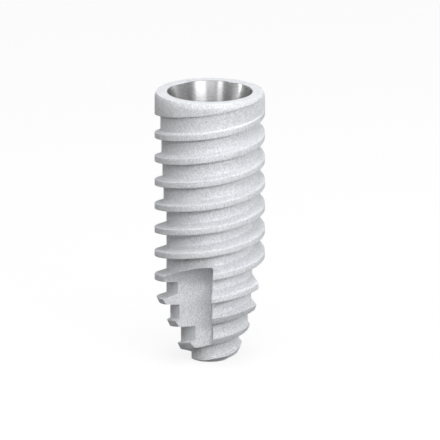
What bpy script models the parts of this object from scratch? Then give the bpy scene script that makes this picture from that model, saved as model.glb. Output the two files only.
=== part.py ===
"""Dental implant: a tapered two-start screw body with milled flutes and a conical hex socket.

Metres, +Z up. The flat apex stands on Z = 0, the axis is the Z axis and the platform faces up.
Azimuths are counted anticlockwise from +X, as seen from above.
"""
import math

import bmesh
import bpy

MM = 0.001

# Overall sizes
BODY_DIAMETER = 4.70 * MM
LENGTH = 11.60 * MM

# Platform rim: a flat ring round the socket, with a steep chamfer down to the collar
RIM_CHAMFER_WIDTH = 0.10 * MM
RIM_CHAMFER_HEIGHT = 0.24 * MM

# Taper: crests and roots run down two parallel cones, and a blunt nose ends in a flat foot
TAPER_HALF_ANGLE = math.radians(23.75)
CREST_TAPER_HEIGHT = 2.98 * MM
ROOT_TAPER_HEIGHT = 2.57 * MM
NOSE_HEIGHT = 0.30 * MM
FOOT_DIAMETER = 1.40 * MM

# External thread, right-handed, with two starts half a turn apart
THREAD_PITCH = 1.025 * MM
THREAD_STARTS = 2
CREST_WIDTH = 0.25 * MM
UPPER_FLANK_ANGLE = math.radians(21.5)
LOWER_FLANK_ANGLE = math.radians(8.0)
COLLAR_THREAD_DEPTH = 0.245 * MM
WAIST_THREAD_DEPTH = 0.375 * MM
LOWER_THREAD_DEPTH = 0.50 * MM

# Places along the thread, as depths of the groove's middle below the platform
THREAD_START_AZIMUTH = math.radians(180.0)
FULL_GROOVE_DROP = 1.37 * MM
WAIST_DROP = 4.43 * MM
LOWER_THREAD_DROP = 5.45 * MM

# Flutes milled up from the apex, each with a raked cutting wall and a round run-out
FLUTE_COUNT = 3
FLUTE_FLOOR_RADIUS = 1.15 * MM
FLUTE_FULL_HEIGHT = 3.20 * MM
FLUTE_CORNER_RADIUS = 0.15 * MM
FLUTE_RAKE = math.radians(5.0)
FLUTE_EDGE_OFFSET = 0.07 * MM
FLUTE_AZIMUTH = math.radians(270.0)

# Socket: conical seat, hexagonal index recess and screw bore
SEAT_DIAMETER = 3.59 * MM
SEAT_DEPTH = 1.75 * MM
SEAT_HALF_ANGLE = math.radians(11.0)
HEX_SIDES = 6
HEX_ACROSS_FLATS = 2.45 * MM
HEX_DEPTH = 3.20 * MM
SCREW_BORE_DIAMETER = 1.75 * MM
SCREW_BORE_DEPTH = 6.40 * MM
DRILL_POINT_HALF_ANGLE = math.radians(59.0)

# Fineness of the facets, how far a cutter runs past what it cuts, and how close points are one
SEGMENTS = 48
BORE_SEGMENTS = 32
CORNER_STEPS = 5
RUNOUT_STEPS = 8
OVERRUN = 0.10 * MM
OVERRUN_GROOVES = 2
MERGE_DISTANCE = 0.0002 * MM
SHARP_ANGLE = math.radians(30.0)

# Blasted and etched titanium: matt and pale
TITANIUM_COLOUR = (0.62, 0.63, 0.65, 1.0)
TITANIUM_METALLIC = 0.8
TITANIUM_ROUGHNESS = 0.6

BODY_RADIUS = BODY_DIAMETER / 2.0
THREAD_LEAD = THREAD_STARTS * THREAD_PITCH
TAPER_SLOPE = math.tan(TAPER_HALF_ANGLE)


def ramp(x, points):
    """Straight lines through points given in rising x, level before the first and after the last."""
    if x <= points[0][0]:
        return points[0][1]
    for (x0, y0), (x1, y1) in zip(points, points[1:]):
        if x <= x1:
            return y0 + (y1 - y0) * (x - x0) / (x1 - x0)
    return points[-1][1]


def crest_radius(z):
    """Radius of the thread's crests at height z, without the nose."""
    below_taper = max(CREST_TAPER_HEIGHT - max(z, 0.0), 0.0)
    return BODY_RADIUS - TAPER_SLOPE * below_taper


def root_radius(z):
    """Radius of the groove's floor where the groove's middle is at height z.

    The groove rises out of the body over the last pitch under the collar, deepens slowly
    down to the waist, drops to full depth below it, and follows the taper at the apex.
    """
    drop = LENGTH - z
    run_out_drop = FULL_GROOVE_DROP - THREAD_PITCH
    depth = ramp(drop, [
        (run_out_drop - THREAD_PITCH, -OVERRUN / 2.0),
        (run_out_drop, 0.0),
        (FULL_GROOVE_DROP, COLLAR_THREAD_DEPTH),
        (WAIST_DROP, WAIST_THREAD_DEPTH),
        (LOWER_THREAD_DROP, LOWER_THREAD_DEPTH),
    ])
    below_taper = max(ROOT_TAPER_HEIGHT - max(z, 0.0), 0.0)
    return BODY_RADIUS - depth - TAPER_SLOPE * below_taper


def groove_section(z):
    """Radius and height of the four corners of one groove whose middle is at height z."""
    mouth = crest_radius(z)
    root = root_radius(z)
    outer = mouth + OVERRUN
    half_mouth = (THREAD_PITCH - CREST_WIDTH) / 2.0
    rise = math.tan(UPPER_FLANK_ANGLE)
    undercut = math.tan(LOWER_FLANK_ANGLE)
    return [
        (outer, z - half_mouth - OVERRUN * rise),
        (root, z - half_mouth + (mouth - root) * rise),
        (root, z + half_mouth - (mouth - root) * undercut),
        (outer, z + half_mouth + OVERRUN * undercut),
    ]


def new_object(name, mesh_builder):
    """Make an object whose mesh is filled by mesh_builder(bm), with its faces pointing out."""
    mesh = bpy.data.meshes.new(name)
    bm = bmesh.new()
    mesh_builder(bm)
    bmesh.ops.remove_doubles(bm, verts=bm.verts, dist=MERGE_DISTANCE)
    bmesh.ops.recalc_face_normals(bm, faces=bm.faces)
    bm.to_mesh(mesh)
    bm.free()
    obj = bpy.data.objects.new(name, mesh)
    bpy.context.collection.objects.link(obj)
    return obj


def mark_as_cutter(obj):
    obj.hide_render = True
    obj.display_type = 'WIRE'
    return obj


def revolve(profile, segments, start=0.0):
    """Mesh builder that turns a profile of (radius, height) points round Z; its ends lie on the axis."""
    def build(bm):
        verts = [bm.verts.new((radius * math.cos(start), radius * math.sin(start), height))
                 for radius, height in profile]
        edges = [bm.edges.new(pair) for pair in zip(verts, verts[1:])]
        bmesh.ops.spin(
            bm, geom=verts + edges, cent=(0.0, 0.0, 0.0), axis=(0.0, 0.0, 1.0),
            angle=2.0 * math.pi, steps=segments, use_merge=True)
    return build


def turned_blank():
    """The outline that the crests are turned to: foot, nose, taper, collar and chamfered rim.

    Its corners lie half a step round from the thread's, so that no two edges fall on each other.
    """
    collar_top = LENGTH - RIM_CHAMFER_HEIGHT
    profile = [
        (0.0, 0.0),
        (FOOT_DIAMETER / 2.0, 0.0),
        (crest_radius(NOSE_HEIGHT), NOSE_HEIGHT),
        (BODY_RADIUS, CREST_TAPER_HEIGHT),
        (BODY_RADIUS, collar_top),
        (BODY_RADIUS - RIM_CHAMFER_WIDTH, LENGTH),
        (0.0, LENGTH),
    ]
    return new_object("implant_body", revolve(profile, SEGMENTS, math.pi / SEGMENTS))


def threaded_rod():
    """A rod that carries the grooves from end to end, longer and wider than the blank.

    Each row of points follows the helix. A row that has gone round once joins the row that
    lies one lead higher, so the two starts close into one surface.
    """
    spare_grooves = THREAD_STARTS + OVERRUN_GROOVES
    groove_count = math.ceil(LENGTH / THREAD_PITCH) + 2 * spare_grooves
    phase = (LENGTH - FULL_GROOVE_DROP) % THREAD_PITCH
    corners = len(groove_section(0.0))

    def build(bm):
        columns = []
        for step in range(SEGMENTS + 1):
            azimuth = 2.0 * math.pi * step / SEGMENTS
            column = []
            turned = (azimuth - THREAD_START_AZIMUTH) / (2.0 * math.pi)
            for groove in range(groove_count):
                middle = (groove - spare_grooves) * THREAD_PITCH + phase + turned * THREAD_LEAD
                for radius, height in groove_section(middle):
                    place = (radius * math.cos(azimuth), radius * math.sin(azimuth), height)
                    column.append(bm.verts.new(place))
            columns.append(column)
        for left, right in zip(columns, columns[1:]):
            for row in range(groove_count * corners - 1):
                bm.faces.new((left[row], right[row], right[row + 1], left[row + 1]))
        close_end(bm, columns, top=False)
        close_end(bm, columns, top=True)

    def close_end(bm, columns, top):
        seam = THREAD_STARTS * corners
        if top:
            ring = [column[-1] for column in columns]
            step_down = [columns[-1][-1 - row] for row in range(seam + 1)]
            loop = ring + step_down[1:]
            apex_height = ring[-1].co.z + THREAD_LEAD
        else:
            ring = [column[0] for column in reversed(columns)]
            step_up = [columns[0][row] for row in range(seam + 1)]
            loop = ring + step_up[1:]
            apex_height = ring[-1].co.z - THREAD_LEAD
        apex = bm.verts.new((0.0, 0.0, apex_height))
        for a, b in zip(loop, loop[1:]):
            bm.faces.new((a, b, apex))

    return mark_as_cutter(new_object("thread_form", build))


def flute_section():
    """Section of the flute cutter: (along, out) points, along the floor and out from the axis."""
    outer = BODY_RADIUS + OVERRUN / 2.0
    reach = BODY_RADIUS + OVERRUN
    lean = math.tan(FLUTE_RAKE)
    corner = FLUTE_EDGE_OFFSET + (BODY_RADIUS - FLUTE_FLOOR_RADIUS) * lean
    setback = FLUTE_CORNER_RADIUS / math.tan((math.pi / 2.0 - FLUTE_RAKE) / 2.0)
    centre = (corner - setback, FLUTE_FLOOR_RADIUS + FLUTE_CORNER_RADIUS)
    points = [(-reach, outer), (-reach, FLUTE_FLOOR_RADIUS)]
    for step in range(CORNER_STEPS + 1):
        angle = -math.pi / 2.0 + (math.pi / 2.0 + FLUTE_RAKE) * step / CORNER_STEPS
        points.append((
            centre[0] + FLUTE_CORNER_RADIUS * math.cos(angle),
            centre[1] + FLUTE_CORNER_RADIUS * math.sin(angle)))
    points.append((FLUTE_EDGE_OFFSET + (BODY_RADIUS - outer) * lean, outer))
    return points, outer


def flute_cutter(index):
    """The space that one pass of the cutter clears: straight up from the apex, then out in an arc.

    The section's first and last points lie on the line that the arc turns about, so they stay put.
    """
    azimuth = FLUTE_AZIMUTH + 2.0 * math.pi * index / FLUTE_COUNT
    out = (math.cos(azimuth), math.sin(azimuth))
    along = (-math.sin(azimuth), math.cos(azimuth))
    section, pivot = flute_section()

    def place(point, height):
        x = along[0] * point[0] + out[0] * point[1]
        y = along[1] * point[0] + out[1] * point[1]
        return (x, y, height)

    def build(bm):
        rings = [[bm.verts.new(place(point, -OVERRUN)) for point in section]]
        for step in range(RUNOUT_STEPS + 1):
            turn = math.pi / 2.0 * step / RUNOUT_STEPS
            ring = []
            for side, radius in section:
                arm = pivot - radius
                swung = (side, pivot - arm * math.cos(turn))
                ring.append(bm.verts.new(place(swung, FLUTE_FULL_HEIGHT + arm * math.sin(turn))))
            rings.append(ring)
        count = len(section)
        for lower, upper in zip(rings, rings[1:]):
            for a in range(count - 1):
                bm.faces.new((lower[a], lower[a + 1], upper[a + 1], upper[a]))
        bm.faces.new((rings[0][-1], rings[0][0], rings[1][0], rings[1][-1]))
        bm.faces.new(rings[0])
        bm.faces.new(rings[-1])

    return mark_as_cutter(new_object("flute_cut_%d" % index, build))


def socket_cutter():
    """Conical seat and screw bore, down to the point that the drill leaves."""
    seat_radius = SEAT_DIAMETER / 2.0
    slope = math.tan(SEAT_HALF_ANGLE)
    bore_radius = SCREW_BORE_DIAMETER / 2.0
    point_depth = bore_radius / math.tan(DRILL_POINT_HALF_ANGLE)
    profile = [
        (0.0, LENGTH + OVERRUN),
        (seat_radius + OVERRUN * slope, LENGTH + OVERRUN),
        (seat_radius - SEAT_DEPTH * slope, LENGTH - SEAT_DEPTH),
        (bore_radius, LENGTH - SEAT_DEPTH),
        (bore_radius, LENGTH - SCREW_BORE_DEPTH),
        (0.0, LENGTH - SCREW_BORE_DEPTH - point_depth),
    ]
    # Half a step round, because a corner that falls right on an edge of the blank's top tears it
    turned = revolve(profile, BORE_SEGMENTS, math.pi / BORE_SEGMENTS)
    return mark_as_cutter(new_object("socket_cut", turned))


def hex_cutter():
    """Six-sided index recess under the seat, with a flat facing -Y."""
    corner_radius = HEX_ACROSS_FLATS / 2.0 / math.cos(math.pi / HEX_SIDES)

    def build(bm):
        ends = []
        for height in (LENGTH - SEAT_DEPTH + OVERRUN / 2.0, LENGTH - HEX_DEPTH):
            ring = []
            for corner in range(HEX_SIDES):
                azimuth = 2.0 * math.pi * corner / HEX_SIDES
                place = (corner_radius * math.cos(azimuth), corner_radius * math.sin(azimuth), height)
                ring.append(bm.verts.new(place))
            ends.append(ring)
        for a in range(HEX_SIDES):
            b = (a + 1) % HEX_SIDES
            bm.faces.new((ends[0][a], ends[1][a], ends[1][b], ends[0][b]))
        bm.faces.new(ends[0])
        bm.faces.new(ends[1])

    return mark_as_cutter(new_object("hex_cut", build))


def add_boolean(obj, other, operation):
    modifier = obj.modifiers.new(other.name, 'BOOLEAN')
    modifier.object = other
    modifier.operation = operation
    modifier.solver = 'EXACT'


def blasted_titanium():
    material = bpy.data.materials.new("blasted_titanium")
    material.use_nodes = True
    shader = material.node_tree.nodes["Principled BSDF"]
    shader.inputs["Base Color"].default_value = TITANIUM_COLOUR
    shader.inputs["Metallic"].default_value = TITANIUM_METALLIC
    shader.inputs["Roughness"].default_value = TITANIUM_ROUGHNESS
    return material


def build_implant():
    for old in list(bpy.data.objects):
        bpy.data.objects.remove(old, do_unlink=True)
    body = turned_blank()
    add_boolean(body, socket_cutter(), 'DIFFERENCE')
    add_boolean(body, hex_cutter(), 'DIFFERENCE')
    for index in range(FLUTE_COUNT):
        add_boolean(body, flute_cutter(index), 'DIFFERENCE')
    add_boolean(body, threaded_rod(), 'INTERSECT')
    weld = body.modifiers.new("weld", 'WELD')
    weld.merge_threshold = MERGE_DISTANCE
    body.data.materials.append(blasted_titanium())
    body.data.shade_smooth()
    body.data.set_sharp_from_angle(angle=SHARP_ANGLE)
    return body


build_implant()
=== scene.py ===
import math

import bmesh
import bpy
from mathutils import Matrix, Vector


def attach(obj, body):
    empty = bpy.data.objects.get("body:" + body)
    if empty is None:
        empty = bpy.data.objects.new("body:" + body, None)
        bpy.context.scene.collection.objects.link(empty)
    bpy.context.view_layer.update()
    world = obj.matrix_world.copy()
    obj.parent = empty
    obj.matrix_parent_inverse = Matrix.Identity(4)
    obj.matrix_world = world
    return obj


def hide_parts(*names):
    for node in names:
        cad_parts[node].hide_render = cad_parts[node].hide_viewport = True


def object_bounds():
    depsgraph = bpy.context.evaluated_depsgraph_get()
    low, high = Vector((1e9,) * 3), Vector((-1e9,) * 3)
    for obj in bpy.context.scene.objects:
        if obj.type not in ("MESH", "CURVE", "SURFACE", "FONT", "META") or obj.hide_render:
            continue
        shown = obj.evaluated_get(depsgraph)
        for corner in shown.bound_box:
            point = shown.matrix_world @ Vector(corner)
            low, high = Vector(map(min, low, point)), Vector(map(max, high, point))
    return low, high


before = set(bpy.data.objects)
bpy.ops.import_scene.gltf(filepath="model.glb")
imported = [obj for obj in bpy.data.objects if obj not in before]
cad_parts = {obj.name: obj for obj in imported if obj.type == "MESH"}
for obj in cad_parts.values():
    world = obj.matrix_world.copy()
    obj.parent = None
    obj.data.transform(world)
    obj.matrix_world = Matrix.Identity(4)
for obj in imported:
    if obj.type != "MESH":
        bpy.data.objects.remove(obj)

CAD_LOW, CAD_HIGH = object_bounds()
MM = 0.001

# Camera, as measured in the photograph: level of the lens, size of a pixel, place of the foot
PHOTO_PIXELS = 440
VIEW_ELEVATION = math.radians(14.4)
BODY_WIDTH_PIXELS = 110.45
AXIS_COLUMN = 209.78
FOOT_ROW = 358.0
CAMERA_DISTANCE = 100.0 * MM
NEAREST_SEEN = 1.0 * MM
FARTHEST_SEEN = 1000.0 * MM

# Overall sizes, some of them measured more finely than in the part's source
BODY_DIAMETER = 4.65 * MM
LENGTH = CAD_HIGH.z
BODY_RADIUS = BODY_DIAMETER / 2.0
RIM_CHAMFER_WIDTH = 0.06 * MM
RIM_CHAMFER_HEIGHT = 0.20 * MM
RIM_ROUNDING = 0.025 * MM
TAPER_HALF_ANGLE = math.radians(23.75)
CREST_TAPER_HEIGHT = 2.90 * MM
ROOT_TAPER_HEIGHT = 2.41 * MM
NOSE_HEIGHT = 0.30 * MM
FOOT_RADIUS = 0.73 * MM
FOOT_ROUNDING = 0.15 * MM

# Thread on the bone's side
THREAD_PITCH = 1.025 * MM
THREAD_STARTS = 2
CREST_WIDTH = 0.25 * MM
CREST_TOP_ROUNDING = 0.025 * MM
CREST_UNDER_ROUNDING = 0.015 * MM
ROOT_ROUNDING = 0.015 * MM
UPPER_FLANK_ANGLE = math.radians(21.5)
LOWER_FLANK_ANGLE = math.radians(8.0)
COLLAR_THREAD_DEPTH = 0.245 * MM
WAIST_THREAD_DEPTH = 0.375 * MM
LOWER_THREAD_DEPTH = 0.50 * MM
THREAD_START_AZIMUTH = math.radians(180.0)
FULL_GROOVE_DROP = 1.37 * MM
WAIST_DROP = 4.43 * MM
LOWER_THREAD_DROP = 5.45 * MM

# Flutes
FLUTE_COUNT = 3
FLUTE_FLOOR_RADIUS = 1.23 * MM
FLUTE_FULL_HEIGHT = 3.38 * MM
FLUTE_CORNER_RADIUS = 0.15 * MM
FLUTE_RAKE = math.radians(5.0)
FLUTE_EDGE_OFFSET = 0.07 * MM
FLUTE_AZIMUTH = math.radians(270.0)

# Socket, with the fine screw thread that the part's source leaves out
SEAT_RADIUS = 1.795 * MM
SEAT_DEPTH = 1.75 * MM
SEAT_HALF_ANGLE = math.radians(11.0)
SEAT_EDGE = 0.02 * MM
HEX_SIDES = 6
HEX_ACROSS_FLATS = 2.45 * MM
HEX_DEPTH = 3.20 * MM
SCREW_BORE_RADIUS = 0.875 * MM
SCREW_BORE_DEPTH = 6.40 * MM
DRILL_POINT_HALF_ANGLE = math.radians(59.0)
SCREW_THREAD_RADIUS = 1.00 * MM
SCREW_PITCH = 0.40 * MM
SCREW_CREST_WIDTH = 0.10 * MM
SCREW_FLANK_ANGLE = math.radians(30.0)
SCREW_ROUNDING = 0.02 * MM
SCREW_THREAD_END = 5.90 * MM

# Surfaces. A range of grain is the part of the noise over which a colour or a roughness changes
BLASTED_METALLIC = 0.1
BLASTED_DARK = (0.44, 0.455, 0.485, 1.0)
BLASTED_LIGHT = (0.97, 0.98, 1.0, 1.0)
BLASTED_COLOUR_RANGE = (0.4, 0.6)
BLASTED_ROUGHNESS = (0.52, 0.68)
BLASTED_PIT_DEPTH = 0.016 * MM
TURNED_METALLIC = 1.0
TURNED_COLOUR = (0.33, 0.33, 0.335, 1.0)
TURNED_ROUGHNESS = (0.24, 0.34)
TURNED_RING_DEPTH = 0.0015 * MM
TURNED_ANISOTROPY = 0.8
QUARTER_TURN = 0.25
ROUGHNESS_RANGE = (0.3, 0.7)
GRAIN_DETAIL = 2.0
GRAIN_NOISE_ROUGHNESS = 0.6
WHITE = (1.0, 1.0, 1.0, 1.0)

# Floor: what it gives back to the implant, and how white it shows
FLOOR_HALF_WIDTH = 300.0 * MM
FLOOR_BOUNCE = (0.04, 0.04, 0.04, 1.0)
FLOOR_GLOW_SHARE = 0.84
FLOOR_GLOW_STRENGTH = 1.027

# Lamps: name, azimuth and elevation in degrees, width and height in millimetres, power in watts
LAMP_DISTANCE = 160.0 * MM
SURFACE_LAMPS = [
    ("low_front", 10.0, 23.0, 90.0, 36.0, 0.04),
    ("low_right", 40.0, 23.0, 90.0, 36.0, 0.082),
    ("low_side", 70.0, 23.0, 90.0, 36.0, 0.031),
    ("back_right", 100.0, 12.0, 90.0, 90.0, 0.035),
    ("high_front", 10.0, 38.0, 90.0, 90.0, 0.03),
    ("high_left", -20.0, 38.0, 90.0, 90.0, 0.056),
    ("steep_front", 10.0, 64.0, 90.0, 90.0, 0.032),
    ("steep_left", -50.0, 64.0, 90.0, 90.0, 0.011),
    ("top", 0.0, 90.0, 90.0, 90.0, 0.119),
]
REFLECTED_LAMPS = [
    ("broad_strip", 26.0, 30.0, 84.0, 200.0, 0.29),
    ("dim_strip", -5.0, 30.0, 60.0, 200.0, 0.06),
    ("soft_strip", -29.0, 30.0, 33.0, 200.0, 0.1),
    ("thin_strip", -92.5, 30.0, 12.0, 200.0, 0.18),
    ("side_strip", 118.0, 30.0, 60.0, 200.0, 0.12),
]

# Fineness, and how far a cutter passes what it cuts
STATIONS = 192
SCREW_STATIONS = 96
CORNER_STEPS = 5
SCREW_CORNER_STEPS = 2
TURNED_SEGMENTS = 192
SOCKET_SEGMENTS = 144
FLUTE_CORNER_STEPS = 10
RUNOUT_STEPS = 24
EDGE_STEPS = 4
OVERRUN = 0.10 * MM
ROD_OVERRUN = 1.5 * THREAD_PITCH
SPARE_GROOVE_COUNT = 2
CORNERS_PER_GROOVE = 4
LONGEST_ROUNDING_SHARE = 0.45
MERGE_DISTANCE = 0.0002 * MM
SHARP_ANGLE = math.radians(26.0)


# Camera

def make_camera():
    pixel = BODY_DIAMETER / BODY_WIDTH_PIXELS
    forward = Vector((0.0, math.cos(VIEW_ELEVATION), -math.sin(VIEW_ELEVATION)))
    right = Vector((1.0, 0.0, 0.0))
    up = right.cross(forward)
    middle = PHOTO_PIXELS / 2.0
    target = right * ((middle - AXIS_COLUMN) * pixel) + up * ((FOOT_ROW - middle) * pixel)
    data = bpy.data.cameras.new("camera")
    data.type = 'ORTHO'
    data.ortho_scale = PHOTO_PIXELS * pixel
    data.clip_start = NEAREST_SEEN
    data.clip_end = FARTHEST_SEEN
    camera = bpy.data.objects.new("camera", data)
    bpy.context.scene.collection.objects.link(camera)
    camera.location = target - forward * CAMERA_DISTANCE
    camera.rotation_euler = forward.to_track_quat('-Z', 'Y').to_euler()
    bpy.context.scene.camera = camera


# Arithmetic on fields, for the node trees

class Field:
    """A number that varies over a surface. Sums and products of fields add math nodes to the tree."""

    def __init__(self, tree, socket):
        self.tree = tree
        self.socket = socket

    def math(self, operation, *others):
        return apply_math(self.tree, operation, self, *others)

    def __add__(self, other):
        return self.math('ADD', other)

    def __sub__(self, other):
        return self.math('SUBTRACT', other)

    def __rsub__(self, other):
        return apply_math(self.tree, 'SUBTRACT', other, self)

    def __mul__(self, other):
        return self.math('MULTIPLY', other)

    def __rmul__(self, other):
        return self.math('MULTIPLY', other)

    def __truediv__(self, other):
        return self.math('DIVIDE', other)


def feed(tree, value, socket):
    """Link a field, or a node's output, to a socket, or write a plain value on it."""
    if isinstance(value, Field):
        tree.links.new(value.socket, socket)
    elif isinstance(value, bpy.types.NodeSocket):
        tree.links.new(value, socket)
    else:
        socket.default_value = value


def apply_math(tree, operation, *values):
    node = tree.nodes.new('ShaderNodeMath')
    node.operation = operation
    for value, socket in zip(values, node.inputs):
        feed(tree, value, socket)
    return Field(tree, node.outputs[0])


def add_node(tree, kind, **settings):
    """A new node, with its named inputs fed; a name with underscores stands for one with spaces."""
    node = tree.nodes.new(kind)
    for name, value in settings.items():
        feed(tree, value, node.inputs[name.replace("_", " ")])
    return node


# The grooved rod, made by Geometry Nodes for the bone thread and for the screw thread

ROD_SIZES = [
    ("Bottom", 'NodeSocketFloat'),
    ("Top", 'NodeSocketFloat'),
    ("Crest Radius", 'NodeSocketFloat'),
    ("Taper Slope", 'NodeSocketFloat'),
    ("Crest Taper Height", 'NodeSocketFloat'),
    ("Root Taper Height", 'NodeSocketFloat'),
    ("Pitch", 'NodeSocketFloat'),
    ("Starts", 'NodeSocketInt'),
    ("Start Azimuth", 'NodeSocketFloat'),
    ("Crest Width", 'NodeSocketFloat'),
    ("Upper Flank", 'NodeSocketFloat'),
    ("Lower Flank", 'NodeSocketFloat'),
    ("Run Out Height", 'NodeSocketFloat'),
    ("Groove Height", 'NodeSocketFloat'),
    ("Waist Height", 'NodeSocketFloat'),
    ("Lower Height", 'NodeSocketFloat'),
    ("Collar Depth", 'NodeSocketFloat'),
    ("Waist Depth", 'NodeSocketFloat'),
    ("Lower Depth", 'NodeSocketFloat'),
    ("Crest Top Rounding", 'NodeSocketFloat'),
    ("Crest Under Rounding", 'NodeSocketFloat'),
    ("Root Rounding", 'NodeSocketFloat'),
    ("Stations", 'NodeSocketInt'),
    ("Corner Steps", 'NodeSocketInt'),
    ("Spare Grooves", 'NodeSocketInt'),
    ("Merge Distance", 'NodeSocketFloat'),
    ("Material", 'NodeSocketMaterial'),
]


def between(tree, value, low, high, low_result, high_result):
    """A straight ramp from low_result at low to high_result at high, level outside them."""
    node = add_node(
        tree, 'ShaderNodeMapRange', Value=value, From_Min=low, From_Max=high,
        To_Min=low_result, To_Max=high_result)
    return Field(tree, node.outputs["Result"])


def crest_radius(size, height):
    below = (size["Crest Taper Height"] - height.math('MAXIMUM', 0.0)).math('MAXIMUM', 0.0)
    return size["Crest Radius"] - size["Taper Slope"] * below


def root_radius(tree, size, height):
    """Radius of the groove's floor: the groove deepens in three ramps on its way down the body."""
    collar, waist, lower = size["Collar Depth"], size["Waist Depth"], size["Lower Depth"]
    depth = between(tree, height, size["Groove Height"], size["Run Out Height"], collar, 0.0)
    depth = depth + between(tree, height, size["Waist Height"], size["Groove Height"], waist - collar, 0.0)
    depth = depth + between(tree, height, size["Lower Height"], size["Waist Height"], lower - waist, 0.0)
    below = (size["Root Taper Height"] - height.math('MAXIMUM', 0.0)).math('MAXIMUM', 0.0)
    return size["Crest Radius"] - depth - size["Taper Slope"] * below


def groove_corner(tree, size, corner, middle):
    """Place, as (radius, 0, height), and rounding of one of a groove's corners, from its lower crest up.

    A corner below 0 or above 3 belongs to the groove below or above. A crest's corner slides along
    its flank until it lies on the crests' cone, in two steps that come close enough.
    """
    wrapped = (corner / CORNERS_PER_GROOVE).math('FLOOR')
    inner = corner - CORNERS_PER_GROOVE * wrapped
    height = middle + wrapped * size["Pitch"]
    is_upper = inner.math('GREATER_THAN', 1.5)
    is_root = inner.math('GREATER_THAN', 0.5) * inner.math('LESS_THAN', 2.5)
    side = is_upper * 2.0 - 1.0
    flank = size["Upper Flank"] + is_upper * (size["Lower Flank"] - size["Upper Flank"])
    mouth = crest_radius(size, height)
    mouth_height = height + side * ((size["Pitch"] - size["Crest Width"]) / 2.0)
    slid = mouth - crest_radius(size, mouth_height)
    slid = mouth - crest_radius(size, mouth_height - side * flank * slid)
    depth = mouth - root_radius(tree, size, height)
    inward = slid + is_root * (depth - slid)
    place = add_node(
        tree, 'ShaderNodeCombineXYZ', X=mouth - inward, Y=0.0, Z=mouth_height - side * flank * inward)
    rounding = size["Crest Top Rounding"] + is_upper * (
        size["Crest Under Rounding"] - size["Crest Top Rounding"])
    rounding = rounding + is_root * (size["Root Rounding"] - rounding)
    return place.outputs[0], rounding


def vector_math(tree, operation, first, second=None, scale=None):
    node = tree.nodes.new('ShaderNodeVectorMath')
    node.operation = operation
    feed(tree, first, node.inputs[0])
    if second is not None:
        feed(tree, second, node.inputs[1])
    if scale is not None:
        feed(tree, scale, node.inputs["Scale"])
    return node.outputs["Value" if operation == 'LENGTH' else "Vector"]


def rounded_corner(tree, before, corner, after, rounding, share):
    """A point on a smooth curve that cuts a corner, at a share of the way from its start to its end."""
    arms = []
    for neighbour in (before, after):
        arm = vector_math(tree, 'SUBTRACT', neighbour, corner)
        length = Field(tree, vector_math(tree, 'LENGTH', arm))
        reach = rounding.math('MINIMUM', length * LONGEST_ROUNDING_SHARE)
        unit = vector_math(tree, 'NORMALIZE', arm)
        arms.append(vector_math(tree, 'SCALE', unit, scale=reach))
    left = 1.0 - share
    pull_back = vector_math(tree, 'SCALE', arms[0], scale=left * left)
    pull_on = vector_math(tree, 'SCALE', arms[1], scale=share * share)
    return vector_math(tree, 'ADD', corner, vector_math(tree, 'ADD', pull_back, pull_on))


def grooved_rod_tree():
    """Geometry Nodes for a rod with helical grooves and rounded corners, closed at both ends.

    A grid of stations round the axis by rows along it is bent into the helix. A row that has gone
    round once meets the row that lies one lead higher, where merging joins them. Points past the
    bottom or the top fall together on the axis, which closes the ends.
    """
    tree = bpy.data.node_groups.new("grooved_rod", 'GeometryNodeTree')
    tree.interface.new_socket("Geometry", in_out='OUTPUT', socket_type='NodeSocketGeometry')
    for name, kind in ROD_SIZES:
        tree.interface.new_socket(name, in_out='INPUT', socket_type=kind)
    source = tree.nodes.new('NodeGroupInput')
    size = {name: Field(tree, source.outputs[name]) for name, kind in ROD_SIZES}
    pitch, bottom, top = size["Pitch"], size["Bottom"], size["Top"]

    points_per_corner = size["Corner Steps"] + 1.0
    rows_per_groove = points_per_corner * CORNERS_PER_GROOVE
    grooves = ((top - bottom) / pitch).math('CEIL') + size["Spare Grooves"] * 2.0
    rows = grooves * rows_per_groove
    grid = add_node(tree, 'GeometryNodeMeshGrid', Vertices_X=size["Stations"] + 1.0, Vertices_Y=rows)

    index = Field(tree, tree.nodes.new('GeometryNodeInputIndex').outputs[0])
    station = (index / rows).math('FLOOR')
    row = index - station * rows
    groove = (row / rows_per_groove).math('FLOOR')
    row_in_groove = row - groove * rows_per_groove
    corner = (row_in_groove / points_per_corner).math('FLOOR')
    share = (row_in_groove - corner * points_per_corner) / size["Corner Steps"]

    azimuth = station / size["Stations"] * (2.0 * math.pi)
    turned = (azimuth - size["Start Azimuth"]) / (2.0 * math.pi)
    phase = (size["Groove Height"] - bottom).math('FLOORED_MODULO', pitch)
    middle = bottom + phase + (groove - size["Spare Grooves"] + turned * size["Starts"]) * pitch

    before, unused = groove_corner(tree, size, corner - 1.0, middle)
    here, rounding = groove_corner(tree, size, corner, middle)
    after, unused = groove_corner(tree, size, corner + 1.0, middle)
    section = add_node(
        tree, 'ShaderNodeSeparateXYZ', Vector=rounded_corner(tree, before, here, after, rounding, share))
    radius, height = Field(tree, section.outputs["X"]), Field(tree, section.outputs["Z"])

    inside = height.math('GREATER_THAN', bottom) * height.math('LESS_THAN', top)
    radius = radius * inside
    height = height.math('MAXIMUM', bottom).math('MINIMUM', top)
    place = add_node(
        tree, 'ShaderNodeCombineXYZ', X=radius * azimuth.math('COSINE'), Y=radius * azimuth.math('SINE'),
        Z=height)
    bent = add_node(
        tree, 'GeometryNodeSetPosition', Geometry=grid.outputs["Mesh"], Position=place.outputs[0])
    joined = add_node(
        tree, 'GeometryNodeMergeByDistance', Geometry=bent.outputs[0], Distance=size["Merge Distance"])
    real = add_node(tree, 'GeometryNodeRealizeInstances', Geometry=joined.outputs[0])
    finished = add_node(
        tree, 'GeometryNodeSetMaterial', Geometry=real.outputs[0], Material=size["Material"])
    target = tree.nodes.new('NodeGroupOutput')
    tree.links.new(finished.outputs[0], target.inputs[0])
    return tree


# Mesh making

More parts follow.
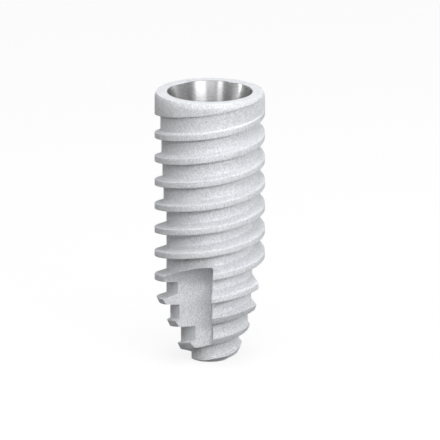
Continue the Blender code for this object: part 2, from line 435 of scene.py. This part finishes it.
def link_mesh(name, bm):
    """Make an object of a bmesh, with doubles merged and faces pointing out."""
    mesh = bpy.data.meshes.new(name)
    bmesh.ops.remove_doubles(bm, verts=bm.verts, dist=MERGE_DISTANCE)
    bmesh.ops.dissolve_degenerate(bm, edges=bm.edges, dist=MERGE_DISTANCE)
    bmesh.ops.recalc_face_normals(bm, faces=bm.faces)
    bm.to_mesh(mesh)
    bm.free()
    obj = bpy.data.objects.new(name, mesh)
    bpy.context.scene.collection.objects.link(obj)
    return obj


def plain_mesh(obj):
    """Turn what an object's modifiers make into a bmesh, and remove the object."""
    graph = bpy.context.evaluated_depsgraph_get()
    mesh = bpy.data.meshes.new_from_object(obj.evaluated_get(graph))
    obj.modifiers.clear()
    bm = bmesh.new()
    bm.from_mesh(mesh)
    bpy.data.meshes.remove(mesh)
    bpy.data.objects.remove(obj, do_unlink=True)
    return bm


def grooved_rod(name, tree, sizes):
    """A grooved rod with these sizes, as a plain mesh."""
    obj = bpy.data.objects.new(name, bpy.data.meshes.new(name))
    bpy.context.scene.collection.objects.link(obj)
    modifier = obj.modifiers.new(name, 'NODES')
    modifier.node_group = tree
    for item in tree.interface.items_tree:
        if item.in_out == 'INPUT':
            modifier[item.identifier] = sizes[item.name]
    return link_mesh(name, plain_mesh(obj))


def revolve(name, profile, segments):
    """Turn a profile of (radius, height) points round Z. Its corners lie half a step off the axes."""
    bm = bmesh.new()
    start = math.pi / segments
    verts = [bm.verts.new((radius * math.cos(start), radius * math.sin(start), height))
             for radius, height in profile]
    edges = [bm.edges.new(pair) for pair in zip(verts, verts[1:])]
    bmesh.ops.spin(
        bm, geom=verts + edges, cent=(0.0, 0.0, 0.0), axis=(0.0, 0.0, 1.0),
        angle=2.0 * math.pi, steps=segments, use_merge=True)
    return link_mesh(name, bm)


def rounded(before, corner, after, reach):
    """Points on a smooth curve that cuts a corner of a profile, reach away from it on both sides."""
    points = []
    start = corner + (before - corner).normalized() * reach
    end = corner + (after - corner).normalized() * reach
    for step in range(EDGE_STEPS + 1):
        share = step / EDGE_STEPS
        points.append(start.lerp(corner, share).lerp(corner.lerp(end, share), share))
    return points


def envelope():
    """What the crests are turned to at the nose and the rim, with both edges rounded.

    Along the body it stands clear of the crests, so that there the thread's own rounding shows.
    """
    foot_middle, rim_middle = Vector((0.0, 0.0)), Vector((0.0, LENGTH))
    slope = math.tan(TAPER_HALF_ANGLE)
    nose_radius = BODY_RADIUS - slope * (CREST_TAPER_HEIGHT - NOSE_HEIGHT)
    nose = Vector((nose_radius - FOOT_RADIUS, NOSE_HEIGHT))
    clear = Vector((FOOT_RADIUS, 0.0)) + nose * (1.0 + OVERRUN / nose.x)
    foot_edge = rounded(foot_middle, Vector((FOOT_RADIUS, 0.0)), clear, FOOT_ROUNDING)
    rim = Vector((BODY_RADIUS - RIM_CHAMFER_WIDTH, LENGTH))
    chamfer = Vector((RIM_CHAMFER_WIDTH, -RIM_CHAMFER_HEIGHT))
    past_chamfer = rim + chamfer * (1.0 + OVERRUN / RIM_CHAMFER_WIDTH)
    rim_edge = rounded(past_chamfer, rim, rim_middle, RIM_ROUNDING)
    taper_top = Vector((BODY_RADIUS + OVERRUN, CREST_TAPER_HEIGHT))
    profile = [foot_middle, *foot_edge, clear, taper_top, past_chamfer, *rim_edge, rim_middle]
    return revolve("implant", profile, TURNED_SEGMENTS)


def socket_cutter():
    """Conical seat with a broken edge, and the screw bore down to the point that the drill leaves."""
    slope = math.tan(SEAT_HALF_ANGLE)
    point_depth = SCREW_BORE_RADIUS / math.tan(DRILL_POINT_HALF_ANGLE)
    return revolve("socket_cut", [
        (0.0, LENGTH + OVERRUN),
        (SEAT_RADIUS + SEAT_EDGE + OVERRUN, LENGTH + OVERRUN),
        (SEAT_RADIUS + SEAT_EDGE, LENGTH),
        (SEAT_RADIUS - SEAT_EDGE * slope, LENGTH - SEAT_EDGE),
        (SEAT_RADIUS - SEAT_DEPTH * slope, LENGTH - SEAT_DEPTH),
        (SCREW_BORE_RADIUS, LENGTH - SEAT_DEPTH),
        (SCREW_BORE_RADIUS, LENGTH - SCREW_BORE_DEPTH),
        (0.0, LENGTH - SCREW_BORE_DEPTH - point_depth),
    ], SOCKET_SEGMENTS)


def hex_cutter():
    corner_radius = HEX_ACROSS_FLATS / 2.0 / math.cos(math.pi / HEX_SIDES)
    bm = bmesh.new()
    ends = []
    for height in (LENGTH - SEAT_DEPTH + OVERRUN, LENGTH - HEX_DEPTH):
        ring = []
        for side in range(HEX_SIDES):
            azimuth = 2.0 * math.pi * side / HEX_SIDES
            place = (corner_radius * math.cos(azimuth), corner_radius * math.sin(azimuth), height)
            ring.append(bm.verts.new(place))
        ends.append(ring)
    for a in range(HEX_SIDES):
        b = (a + 1) % HEX_SIDES
        bm.faces.new((ends[0][a], ends[1][a], ends[1][b], ends[0][b]))
    bm.faces.new(ends[0])
    bm.faces.new(ends[1])
    return link_mesh("hex_cut", bm)


def flute_section():
    """Section of the flute cutter: (along, out) points, along the floor and out from the axis."""
    outer = BODY_RADIUS + OVERRUN / 2.0
    lean = math.tan(FLUTE_RAKE)
    corner = FLUTE_EDGE_OFFSET + (BODY_RADIUS - FLUTE_FLOOR_RADIUS) * lean
    setback = FLUTE_CORNER_RADIUS / math.tan((math.pi / 2.0 - FLUTE_RAKE) / 2.0)
    centre = (corner - setback, FLUTE_FLOOR_RADIUS + FLUTE_CORNER_RADIUS)
    reach = BODY_RADIUS + OVERRUN
    points = [(-reach, outer), (-reach, FLUTE_FLOOR_RADIUS)]
    for step in range(FLUTE_CORNER_STEPS + 1):
        angle = -math.pi / 2.0 + (math.pi / 2.0 + FLUTE_RAKE) * step / FLUTE_CORNER_STEPS
        points.append((
            centre[0] + FLUTE_CORNER_RADIUS * math.cos(angle),
            centre[1] + FLUTE_CORNER_RADIUS * math.sin(angle)))
    points.append((FLUTE_EDGE_OFFSET + (BODY_RADIUS - outer) * lean, outer))
    return points, outer


def flute_cutter(index):
    """What one pass of the flute cutter clears: straight up from the apex, then out in an arc."""
    azimuth = FLUTE_AZIMUTH + 2.0 * math.pi * index / FLUTE_COUNT
    out = Vector((math.cos(azimuth), math.sin(azimuth), 0.0))
    along = Vector((-math.sin(azimuth), math.cos(azimuth), 0.0))
    section, pivot = flute_section()
    bm = bmesh.new()
    rings = [[bm.verts.new(along * side + out * radius + Vector((0.0, 0.0, -OVERRUN)))
              for side, radius in section]]
    for step in range(RUNOUT_STEPS + 1):
        turn = math.pi / 2.0 * step / RUNOUT_STEPS
        ring = []
        for side, radius in section:
            arm = pivot - radius
            height = FLUTE_FULL_HEIGHT + arm * math.sin(turn)
            swung = along * side + out * (pivot - arm * math.cos(turn)) + Vector((0.0, 0.0, height))
            ring.append(bm.verts.new(swung))
        rings.append(ring)
    for lower, upper in zip(rings, rings[1:]):
        for a in range(len(section) - 1):
            bm.faces.new((lower[a], lower[a + 1], upper[a + 1], upper[a]))
    bm.faces.new((rings[0][-1], rings[0][0], rings[1][0], rings[1][-1]))
    bm.faces.new(rings[0])
    bm.faces.new(rings[-1])
    return link_mesh("flute_cut_%d" % index, bm)


def bone_thread(tree, material):
    slope = math.tan(TAPER_HALF_ANGLE)
    return grooved_rod("bone_thread", tree, {
        "Bottom": -ROD_OVERRUN, "Top": LENGTH + ROD_OVERRUN, "Crest Radius": BODY_RADIUS,
        "Taper Slope": slope, "Crest Taper Height": CREST_TAPER_HEIGHT,
        "Root Taper Height": ROOT_TAPER_HEIGHT, "Pitch": THREAD_PITCH, "Starts": THREAD_STARTS,
        "Start Azimuth": THREAD_START_AZIMUTH, "Crest Width": CREST_WIDTH,
        "Upper Flank": math.tan(UPPER_FLANK_ANGLE), "Lower Flank": math.tan(LOWER_FLANK_ANGLE),
        "Run Out Height": LENGTH - FULL_GROOVE_DROP + THREAD_PITCH,
        "Groove Height": LENGTH - FULL_GROOVE_DROP, "Waist Height": LENGTH - WAIST_DROP,
        "Lower Height": LENGTH - LOWER_THREAD_DROP, "Collar Depth": COLLAR_THREAD_DEPTH,
        "Waist Depth": WAIST_THREAD_DEPTH, "Lower Depth": LOWER_THREAD_DEPTH,
        "Crest Top Rounding": CREST_TOP_ROUNDING, "Crest Under Rounding": CREST_UNDER_ROUNDING,
        "Root Rounding": ROOT_ROUNDING,
        "Stations": STATIONS, "Corner Steps": CORNER_STEPS,
        "Spare Grooves": THREAD_STARTS + SPARE_GROOVE_COUNT, "Merge Distance": MERGE_DISTANCE,
        "Material": material,
    })


def screw_tap(tree, material):
    """The rod that cuts the screw thread: as deep as the bore's wall, the same all along."""
    depth = SCREW_THREAD_RADIUS - SCREW_BORE_RADIUS + OVERRUN
    top = LENGTH - HEX_DEPTH + OVERRUN
    flank = math.tan(SCREW_FLANK_ANGLE)
    return grooved_rod("screw_tap", tree, {
        "Bottom": LENGTH - SCREW_THREAD_END, "Top": top + SCREW_PITCH, "Crest Radius": SCREW_THREAD_RADIUS,
        "Taper Slope": 0.0, "Crest Taper Height": 0.0, "Root Taper Height": 0.0,
        "Pitch": SCREW_PITCH, "Starts": 1, "Start Azimuth": 0.0, "Crest Width": SCREW_CREST_WIDTH,
        "Upper Flank": flank, "Lower Flank": flank,
        "Run Out Height": LENGTH + SCREW_PITCH, "Groove Height": LENGTH,
        "Waist Height": LENGTH - SCREW_PITCH, "Lower Height": LENGTH - 2.0 * SCREW_PITCH,
        "Collar Depth": depth, "Waist Depth": depth, "Lower Depth": depth,
        "Crest Top Rounding": SCREW_ROUNDING, "Crest Under Rounding": SCREW_ROUNDING,
        "Root Rounding": SCREW_ROUNDING,
        "Stations": SCREW_STATIONS, "Corner Steps": SCREW_CORNER_STEPS,
        "Spare Grooves": 1 + SPARE_GROOVE_COUNT, "Merge Distance": MERGE_DISTANCE,
        "Material": material,
    })


def implant_piece(outside, inside):
    """Cut the turned envelope by the flutes, keep what is in the thread, then cut the socket.

    The outside comes first: on a body that has the screw thread already, its cuts don't come out
    the same each time.
    """
    tree = grooved_rod_tree()
    body = envelope()
    cuts = [(flute_cutter(index), 'DIFFERENCE') for index in range(FLUTE_COUNT)]
    cuts.append((bone_thread(tree, outside), 'INTERSECT'))
    cuts += [(socket_cutter(), 'DIFFERENCE'), (hex_cutter(), 'DIFFERENCE')]
    cuts.append((screw_tap(tree, inside), 'DIFFERENCE'))
    for tool, operation in cuts:
        modifier = body.modifiers.new(tool.name, 'BOOLEAN')
        modifier.object = tool
        modifier.operation = operation
        modifier.solver = 'EXACT'
    bm = plain_mesh(body)
    for tool, operation in cuts:
        bpy.data.objects.remove(tool, do_unlink=True)
    piece = link_mesh("implant", bm)
    piece.data.materials.clear()
    piece.data.materials.append(outside)
    piece.data.materials.append(inside)
    mark_socket(piece.data)
    piece.data.shade_smooth()
    piece.data.set_sharp_from_angle(angle=SHARP_ANGLE)
    return piece


def mark_socket(mesh):
    """Give the faces inside the socket the second material."""
    floor = LENGTH - SCREW_BORE_DEPTH - SCREW_BORE_RADIUS
    widest = SEAT_RADIUS + SEAT_EDGE + MERGE_DISTANCE
    for face in mesh.polygons:
        corners = [mesh.vertices[index].co for index in face.vertices]
        reach = max(corner.xy.length for corner in corners)
        lowest = min(corner.z for corner in corners)
        face.material_index = int(reach <= widest and lowest > floor)


# Materials

def grain_group():
    """Shader nodes for a fine random grain, as blasting or polishing leaves it: a height and a mask."""
    tree = bpy.data.node_groups.new("metal_grain", 'ShaderNodeTree')
    for name in ("Fine Scale", "Coarse Scale", "Coarse Share", "Stretch"):
        tree.interface.new_socket(name, in_out='INPUT', socket_type='NodeSocketFloat')
    for name in ("Height", "Mask"):
        tree.interface.new_socket(name, in_out='OUTPUT', socket_type='NodeSocketFloat')
    source = tree.nodes.new('NodeGroupInput')
    size = {name: Field(tree, source.outputs[name])
            for name in ("Fine Scale", "Coarse Scale", "Coarse Share", "Stretch")}
    place = tree.nodes.new('ShaderNodeTexCoord').outputs["Object"]
    axes = add_node(tree, 'ShaderNodeSeparateXYZ', Vector=place)
    stretched = add_node(
        tree, 'ShaderNodeCombineXYZ', X=axes.outputs["X"], Y=axes.outputs["Y"],
        Z=Field(tree, axes.outputs["Z"]) * size["Stretch"])
    grains = []
    for scale in (size["Fine Scale"], size["Coarse Scale"]):
        noise = add_node(
            tree, 'ShaderNodeTexNoise', Vector=stretched.outputs[0], Scale=scale, Detail=GRAIN_DETAIL,
            Roughness=GRAIN_NOISE_ROUGHNESS)
        grains.append(Field(tree, noise.outputs[0]))
    fine, coarse = grains
    height = fine + (coarse - fine) * size["Coarse Share"]
    target = tree.nodes.new('NodeGroupOutput')
    feed(tree, height, target.inputs["Height"])
    feed(tree, coarse, target.inputs["Mask"])
    return tree


def new_material(name, metallic):
    material = bpy.data.materials.new(name)
    material.use_nodes = True
    shader = material.node_tree.nodes["Principled BSDF"]
    shader.inputs["Metallic"].default_value = metallic
    return material, material.node_tree, shader


def add_grain(tree, group, fine, coarse, share, stretch):
    node = tree.nodes.new('ShaderNodeGroup')
    node.node_tree = group
    node.inputs["Fine Scale"].default_value = fine
    node.inputs["Coarse Scale"].default_value = coarse
    node.inputs["Coarse Share"].default_value = share
    node.inputs["Stretch"].default_value = stretch
    return node


def blasted_titanium(group):
    """Grit-blasted and etched surface: matt, cool light grey, with a speckle of fine pits."""
    material, tree, shader = new_material("blasted_titanium", BLASTED_METALLIC)
    grain = add_grain(tree, group, fine=40000.0, coarse=9000.0, share=0.12, stretch=1.0)
    colour = add_node(tree, 'ShaderNodeMix')
    colour.data_type = 'RGBA'
    lightness = between(tree, Field(tree, grain.outputs["Height"]), *BLASTED_COLOUR_RANGE, 0.0, 1.0)
    feed(tree, lightness, colour.inputs[0])
    colour.inputs[6].default_value = BLASTED_DARK
    colour.inputs[7].default_value = BLASTED_LIGHT
    tree.links.new(colour.outputs[2], shader.inputs["Base Color"])
    roughness = between(tree, Field(tree, grain.outputs["Mask"]), *ROUGHNESS_RANGE, *BLASTED_ROUGHNESS)
    feed(tree, roughness, shader.inputs["Roughness"])
    bump = add_node(
        tree, 'ShaderNodeBump', Strength=1.0, Distance=BLASTED_PIT_DEPTH, Height=grain.outputs["Height"])
    tree.links.new(bump.outputs[0], shader.inputs["Normal"])
    return material


def turned_titanium(group):
    """Finely turned socket: bright, with rings round the axis that draw reflections into upright streaks."""
    material, tree, shader = new_material("turned_titanium", TURNED_METALLIC)
    shader.inputs["Base Color"].default_value = TURNED_COLOUR
    shader.inputs["Anisotropic"].default_value = TURNED_ANISOTROPY
    shader.inputs["Anisotropic Rotation"].default_value = QUARTER_TURN
    tangent = tree.nodes.new('ShaderNodeTangent')
    tangent.direction_type = 'RADIAL'
    tangent.axis = 'Z'
    tree.links.new(tangent.outputs[0], shader.inputs["Tangent"])
    grain = add_grain(tree, group, fine=900.0, coarse=4000.0, share=0.5, stretch=40.0)
    roughness = between(tree, Field(tree, grain.outputs["Mask"]), *ROUGHNESS_RANGE, *TURNED_ROUGHNESS)
    feed(tree, roughness, shader.inputs["Roughness"])
    bump = add_node(
        tree, 'ShaderNodeBump', Strength=1.0, Distance=TURNED_RING_DEPTH, Height=grain.outputs["Height"])
    tree.links.new(bump.outputs[0], shader.inputs["Normal"])
    return material


# Stage and light

def seen_directly(tree):
    """1 for rays from the camera, or from a reflection or through glass, and 0 for the rest."""
    path = tree.nodes.new('ShaderNodeLightPath')
    seen = Field(tree, path.outputs["Is Camera Ray"])
    seen = seen.math('MAXIMUM', path.outputs["Is Glossy Ray"])
    return seen.math('MAXIMUM', path.outputs["Is Transmission Ray"])


def make_floor():
    """A wide pale floor that shows white, and keeps a share of the object's shadow."""
    half = FLOOR_HALF_WIDTH
    bm = bmesh.new()
    corners = [(-half, -half, 0.0), (half, -half, 0.0), (half, half, 0.0), (-half, half, 0.0)]
    bm.faces.new([bm.verts.new(corner) for corner in corners])
    floor = link_mesh("floor", bm)
    material = bpy.data.materials.new("pale_floor")
    material.use_nodes = True
    tree = material.node_tree
    tree.nodes.clear()
    seen = seen_directly(tree)
    colour = add_node(tree, 'ShaderNodeMix')
    colour.data_type = 'RGBA'
    feed(tree, seen, colour.inputs[0])
    colour.inputs[6].default_value = FLOOR_BOUNCE
    colour.inputs[7].default_value = WHITE
    matt = add_node(tree, 'ShaderNodeBsdfDiffuse', Color=colour.outputs[2])
    white = add_node(tree, 'ShaderNodeEmission', Color=WHITE, Strength=FLOOR_GLOW_STRENGTH)
    mix = tree.nodes.new('ShaderNodeMixShader')
    feed(tree, seen * FLOOR_GLOW_SHARE, mix.inputs[0])
    tree.links.new(matt.outputs[0], mix.inputs[1])
    tree.links.new(white.outputs[0], mix.inputs[2])
    target = tree.nodes.new('ShaderNodeOutputMaterial')
    tree.links.new(mix.outputs[0], target.inputs["Surface"])
    floor.data.materials.append(material)


def make_world():
    """White where it is seen, in reflections too, and it gives the surfaces no other light."""
    world = bpy.data.worlds.new("studio")
    world.use_nodes = True
    tree = world.node_tree
    background = tree.nodes["Background"]
    background.inputs["Color"].default_value = WHITE
    feed(tree, seen_directly(tree), background.inputs["Strength"])
    bpy.context.scene.world = world


def add_lamp(name, azimuth, elevation, width, height, power, reflected):
    """A soft rectangular lamp that faces the middle of the implant. Azimuth 0 is the camera's side.

    A reflected lamp only shows in the turned socket and in the sheen. Any other only lights.
    """
    data = bpy.data.lights.new(name, 'AREA')
    data.shape = 'RECTANGLE'
    data.size = width * MM
    data.size_y = height * MM
    data.energy = power
    lamp = bpy.data.objects.new(name, data)
    bpy.context.scene.collection.objects.link(lamp)
    turn, rise = math.radians(azimuth), math.radians(elevation)
    away = Vector((math.sin(turn) * math.cos(rise), -math.cos(turn) * math.cos(rise), math.sin(rise)))
    lamp.location = Vector((0.0, 0.0, LENGTH / 2.0)) + away * LAMP_DISTANCE
    lamp.rotation_euler = away.to_track_quat('Z', 'Y').to_euler()
    lamp.visible_camera = False
    lamp.visible_diffuse = not reflected
    lamp.visible_glossy = reflected


def make_lamps():
    for lamp in SURFACE_LAMPS:
        add_lamp(*lamp, reflected=False)
    for lamp in REFLECTED_LAMPS:
        add_lamp(*lamp, reflected=True)


make_camera()
bpy.context.scene.view_settings.view_transform = 'Standard'
grain = grain_group()
implant = implant_piece(blasted_titanium(grain), turned_titanium(grain))
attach(implant, "root")
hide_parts("implant_body")
make_floor()
make_world()
make_lamps()
